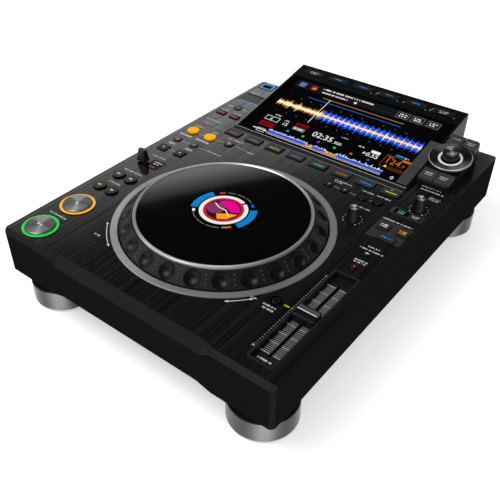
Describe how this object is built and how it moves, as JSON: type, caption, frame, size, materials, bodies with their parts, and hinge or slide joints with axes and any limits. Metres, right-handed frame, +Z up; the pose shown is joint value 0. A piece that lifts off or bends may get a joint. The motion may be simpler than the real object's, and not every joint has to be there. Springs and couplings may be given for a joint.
{
  "type": "tabletop dj media player",
  "caption": "Tabletop DJ media player: dimpled jog dial with a round display, tilted touch screen, rotary selector, lit push keys, tempo fader and wide round feet.",
  "frame": {"origin": "middle of the footprint, on the table", "axes": "+X to the user's right, +Y from the front edge to the back, +Z up"},
  "size_m": [0.329, 0.453, 0.1178],
  "materials": {
    "case_black": "satin black paint",
    "panel_black": "black anodised, brushed front to back",
    "foot_silver": "satin silver",
    "housing_black": "smooth black plastic",
    "screen_glass": "gloss black glass over a lit display",
    "ring_silver": "spun silver",
    "jog_black": "satin black plastic",
    "jog_gloss": "gloss black",
    "inner_black": "moulded black plastic",
    "fader_grey": "grey plate",
    "socket_metal": "nickel plated",
    "board_green": "solder mask",
    "key_black": "satin black plastic",
    "key_metal": "turned metal",
    "key_red": "red plastic",
    "key_yellow": "amber plastic",
    "key_grey": "grey rubber-coated plastic",
    "knob_black": "fluted black rubber with a metal cap"
  },
  "bodies": {
    "console": {"lower_case": "case_black", "top_panel": "panel_black", "feet": "foot_silver", "display_housing": "housing_black", "touch_screen": "screen_glass", "selector_ring": "ring_silver", "jog_surround_ring": "ring_silver", "jog_base": "inner_black", "jog_display": "jog_gloss", "fader_unit": "fader_grey", "panel_sockets": "socket_metal", "circuit_boards": "board_green"},
    "play_button": {"play_button": "key_metal"},
    "cue_button": {"cue_button": "key_metal"},
    "loop_size_four_button": {"loop_size_four_button": "key_black"},
    "loop_size_eight_button": {"loop_size_eight_button": "key_black"},
    "loop_in_button": {"loop_in_button": "key_yellow"},
    "loop_out_button": {"loop_out_button": "key_yellow"},
    "reloop_button": {"reloop_button": "key_black"},
    "usb_stop_button": {"usb_stop_button": "key_black"},
    "call_back_button": {"call_back_button": "key_black"},
    "call_forward_button": {"call_forward_button": "key_black"},
    "delete_button": {"delete_button": "key_black"},
    "memory_button": {"memory_button": "key_black"},
    "tempo_range_button": {"tempo_range_button": "key_black"},
    "master_tempo_button": {"master_tempo_button": "key_black"},
    "tempo_reset_button": {"tempo_reset_button": "key_black"},
    "slip_key": {"slip_key": "key_black"},
    "time_mode_key": {"time_mode_key": "key_red"},
    "quantize_key": {"quantize_key": "key_red"},
    "beat_jump_back_key": {"beat_jump_back_key": "key_black"},
    "beat_jump_forward_key": {"beat_jump_forward_key": "key_black"},
    "jog_mode_key": {"jog_mode_key": "key_black"},
    "key_sync_key": {"key_sync_key": "key_black"},
    "master_key": {"master_key": "key_black"},
    "beat_sync_key": {"beat_sync_key": "key_black"},
    "hot_cue_key_a": {"hot_cue_key_a": "key_black"},
    "hot_cue_key_b": {"hot_cue_key_b": "key_black"},
    "hot_cue_key_c": {"hot_cue_key_c": "key_black"},
    "hot_cue_key_d": {"hot_cue_key_d": "key_black"},
    "hot_cue_key_e": {"hot_cue_key_e": "key_black"},
    "hot_cue_key_f": {"hot_cue_key_f": "key_black"},
    "hot_cue_key_g": {"hot_cue_key_g": "key_black"},
    "hot_cue_key_h": {"hot_cue_key_h": "key_black"},
    "display_keys": {"display_keys": "key_black"},
    "back_key": {"back_key": "key_grey"},
    "tag_track_key": {"tag_track_key": "key_grey"},
    "track_filter_key": {"track_filter_key": "key_grey"},
    "shortcut_key": {"shortcut_key": "key_grey"},
    "search_rocker": {"search_rocker": "key_black"},
    "track_rocker": {"track_rocker": "key_black"},
    "direction_lever": {"direction_lever": "key_black"},
    "sd_door": {"sd_door": "key_black"},
    "jog_adjust_knob": {"jog_adjust_knob": "knob_black"},
    "speed_knob": {"speed_knob": "knob_black"},
    "selector_knob": {"selector_knob": "knob_black"},
    "power_switch": {"power_switch": "key_black"},
    "tempo_slider": {"tempo_slider": "key_grey"},
    "jog_dial": {"jog_platter": "jog_black", "jog_top_plate": "jog_gloss"}
  },
  "joints": [
    {"name": "play_button_press", "type": "slide", "parent": "console", "child": "play_button", "axis": [0, 0, -1], "range_m": [0, 0.0012], "stiffness_N_per_m": 600},
    {"name": "cue_button_press", "type": "slide", "parent": "console", "child": "cue_button", "axis": [0, 0, -1], "range_m": [0, 0.0012], "stiffness_N_per_m": 600},
    {"name": "loop_size_four_button_press", "type": "slide", "parent": "console", "child": "loop_size_four_button", "axis": [0, 0, -1], "range_m": [0, 0.0012], "stiffness_N_per_m": 400},
    {"name": "loop_size_eight_button_press", "type": "slide", "parent": "console", "child": "loop_size_eight_button", "axis": [0, 0, -1], "range_m": [0, 0.0012], "stiffness_N_per_m": 400},
    {"name": "loop_in_button_press", "type": "slide", "parent": "console", "child": "loop_in_button", "axis": [0, 0, -1], "range_m": [0, 0.0012], "stiffness_N_per_m": 400},
    {"name": "loop_out_button_press", "type": "slide", "parent": "console", "child": "loop_out_button", "axis": [0, 0, -1], "range_m": [0, 0.0012], "stiffness_N_per_m": 400},
    {"name": "reloop_button_press", "type": "slide", "parent": "console", "child": "reloop_button", "axis": [0, 0, -1], "range_m": [0, 0.0012], "stiffness_N_per_m": 400},
    {"name": "usb_stop_button_press", "type": "slide", "parent": "console", "child": "usb_stop_button", "axis": [0, 0, -1], "range_m": [0, 0.0012], "stiffness_N_per_m": 400},
    {"name": "call_back_button_press", "type": "slide", "parent": "console", "child": "call_back_button", "axis": [0, 0, -1], "range_m": [0, 0.0012], "stiffness_N_per_m": 400},
    {"name": "call_forward_button_press", "type": "slide", "parent": "console", "child": "call_forward_button", "axis": [0, 0, -1], "range_m": [0, 0.0012], "stiffness_N_per_m": 400},
    {"name": "delete_button_press", "type": "slide", "parent": "console", "child": "delete_button", "axis": [0, 0, -1], "range_m": [0, 0.0012], "stiffness_N_per_m": 400},
    {"name": "memory_button_press", "type": "slide", "parent": "console", "child": "memory_button", "axis": [0, 0, -1], "range_m": [0, 0.0012], "stiffness_N_per_m": 400},
    {"name": "tempo_range_button_press", "type": "slide", "parent": "console", "child": "tempo_range_button", "axis": [0, 0, -1], "range_m": [0, 0.0012], "stiffness_N_per_m": 400},
    {"name": "master_tempo_button_press", "type": "slide", "parent": "console", "child": "master_tempo_button", "axis": [0, 0, -1], "range_m": [0, 0.0012], "stiffness_N_per_m": 400},
    {"name": "tempo_reset_button_press", "type": "slide", "parent": "console", "child": "tempo_reset_button", "axis": [0, 0, -1], "range_m": [0, 0.0012], "stiffness_N_per_m": 400},
    {"name": "slip_key_press", "type": "slide", "parent": "console", "child": "slip_key", "axis": [0, 0, -1], "range_m": [0, 0.0012], "stiffness_N_per_m": 400},
    {"name": "time_mode_key_press", "type": "slide", "parent": "console", "child": "time_mode_key", "axis": [0, 0, -1], "range_m": [0, 0.0012], "stiffness_N_per_m": 400},
    {"name": "quantize_key_press", "type": "slide", "parent": "console", "child": "quantize_key", "axis": [0, 0, -1], "range_m": [0, 0.0012], "stiffness_N_per_m": 400},
    {"name": "beat_jump_back_key_press", "type": "slide", "parent": "console", "child": "beat_jump_back_key", "axis": [0, 0, -1], "range_m": [0, 0.0012], "stiffness_N_per_m": 400},
    {"name": "beat_jump_forward_key_press", "type": "slide", "parent": "console", "child": "beat_jump_forward_key", "axis": [0, 0, -1], "range_m": [0, 0.0012], "stiffness_N_per_m": 400},
    {"name": "jog_mode_key_press", "type": "slide", "parent": "console", "child": "jog_mode_key", "axis": [0, 0, -1], "range_m": [0, 0.0012], "stiffness_N_per_m": 400},
    {"name": "key_sync_key_press", "type": "slide", "parent": "console", "child": "key_sync_key", "axis": [0, 0, -1], "range_m": [0, 0.0012], "stiffness_N_per_m": 400},
    {"name": "master_key_press", "type": "slide", "parent": "console", "child": "master_key", "axis": [0, 0, -1], "range_m": [0, 0.0012], "stiffness_N_per_m": 400},
    {"name": "beat_sync_key_press", "type": "slide", "parent": "console", "child": "beat_sync_key", "axis": [0, 0, -1], "range_m": [0, 0.0012], "stiffness_N_per_m": 400},
    {"name": "hot_cue_key_a_press", "type": "slide", "parent": "console", "child": "hot_cue_key_a", "axis": [0, 0, -1], "range_m": [0, 0.0012], "stiffness_N_per_m": 400},
    {"name": "hot_cue_key_b_press", "type": "slide", "parent": "console", "child": "hot_cue_key_b", "axis": [0, 0, -1], "range_m": [0, 0.0012], "stiffness_N_per_m": 400},
    {"name": "hot_cue_key_c_press", "type": "slide", "parent": "console", "child": "hot_cue_key_c", "axis": [0, 0, -1], "range_m": [0, 0.0012], "stiffness_N_per_m": 400},
    {"name": "hot_cue_key_d_press", "type": "slide", "parent": "console", "child": "hot_cue_key_d", "axis": [0, 0, -1], "range_m": [0, 0.0012], "stiffness_N_per_m": 400},
    {"name": "hot_cue_key_e_press", "type": "slide", "parent": "console", "child": "hot_cue_key_e", "axis": [0, 0, -1], "range_m": [0, 0.0012], "stiffness_N_per_m": 400},
    {"name": "hot_cue_key_f_press", "type": "slide", "parent": "console", "child": "hot_cue_key_f", "axis": [0, 0, -1], "range_m": [0, 0.0012], "stiffness_N_per_m": 400},
    {"name": "hot_cue_key_g_press", "type": "slide", "parent": "console", "child": "hot_cue_key_g", "axis": [0, 0, -1], "range_m": [0, 0.0012], "stiffness_N_per_m": 400},
    {"name": "hot_cue_key_h_press", "type": "slide", "parent": "console", "child": "hot_cue_key_h", "axis": [0, 0, -1], "range_m": [0, 0.0012], "stiffness_N_per_m": 400},
    {"name": "display_keys_press", "type": "slide", "parent": "console", "child": "display_keys", "axis": [0, 0.1907, -0.9816], "range_m": [0, 0.0008], "stiffness_N_per_m": 500},
    {"name": "back_key_press", "type": "slide", "parent": "console", "child": "back_key", "axis": [0, 0.1907, -0.9816], "range_m": [0, 0.0009], "stiffness_N_per_m": 400},
    {"name": "tag_track_key_press", "type": "slide", "parent": "console", "child": "tag_track_key", "axis": [0, 0.1907, -0.9816], "range_m": [0, 0.0009], "stiffness_N_per_m": 400},
    {"name": "track_filter_key_press", "type": "slide", "parent": "console", "child": "track_filter_key", "axis": [0, 0.1907, -0.9816], "range_m": [0, 0.0009], "stiffness_N_per_m": 400},
    {"name": "shortcut_key_press", "type": "slide", "parent": "console", "child": "shortcut_key", "axis": [0, 0.1907, -0.9816], "range_m": [0, 0.0009], "stiffness_N_per_m": 400},
    {"name": "search_rocker_turn", "type": "hinge", "parent": "console", "child": "search_rocker", "pos_m": [-0.1373, -0.1139, 0.0861], "axis": [0, 1, 0], "range_deg": [-4, 4], "stiffness_Nm_per_rad": 0.02},
    {"name": "track_rocker_turn", "type": "hinge", "parent": "console", "child": "track_rocker", "pos_m": [-0.1369, -0.0861, 0.0861], "axis": [0, 1, 0], "range_deg": [-4, 4], "stiffness_Nm_per_rad": 0.02},
    {"name": "direction_lever_turn", "type": "hinge", "parent": "console", "child": "direction_lever", "pos_m": [-0.1451, -0.0489, 0.0767], "axis": [1, 0, 0], "range_deg": [-11, 11]},
    {"name": "sd_door_turn", "type": "hinge", "parent": "console", "child": "sd_door", "pos_m": [-0.1425, 0.1612, 0.0861], "axis": [-1, 0, 0], "range_deg": [0, 80]},
    {"name": "jog_adjust_knob_turn", "type": "hinge", "parent": "console", "child": "jog_adjust_knob", "pos_m": [0.0973, -0.0001, 0.0877], "axis": [0, 0, 1], "range_deg": [-150, 150]},
    {"name": "speed_knob_turn", "type": "hinge", "parent": "console", "child": "speed_knob", "pos_m": [0.1419, 0.0551, 0.0877], "axis": [0, 0, 1], "range_deg": [-150, 150]},
    {"name": "selector_knob_turn", "type": "hinge", "parent": "console", "child": "selector_knob", "pos_m": [0.1341, 0.13968, 0.10113], "axis": [0, -0.1907, 0.9816], "continuous": true},
    {"name": "power_switch_turn", "type": "hinge", "parent": "console", "child": "power_switch", "pos_m": [0.082, 0.2035, 0.0637], "axis": [1, 0, 0], "range_deg": [0, 14]},
    {"name": "tempo_slider_slide", "type": "slide", "parent": "console", "child": "tempo_slider", "axis": [0, 1, 0], "range_m": [-0.05, 0.05]},
    {"name": "jog_dial_turn", "type": "hinge", "parent": "console", "child": "jog_dial", "pos_m": [0, -0.0839, 0.0877], "axis": [0, 0, 1], "continuous": true}
  ]
}
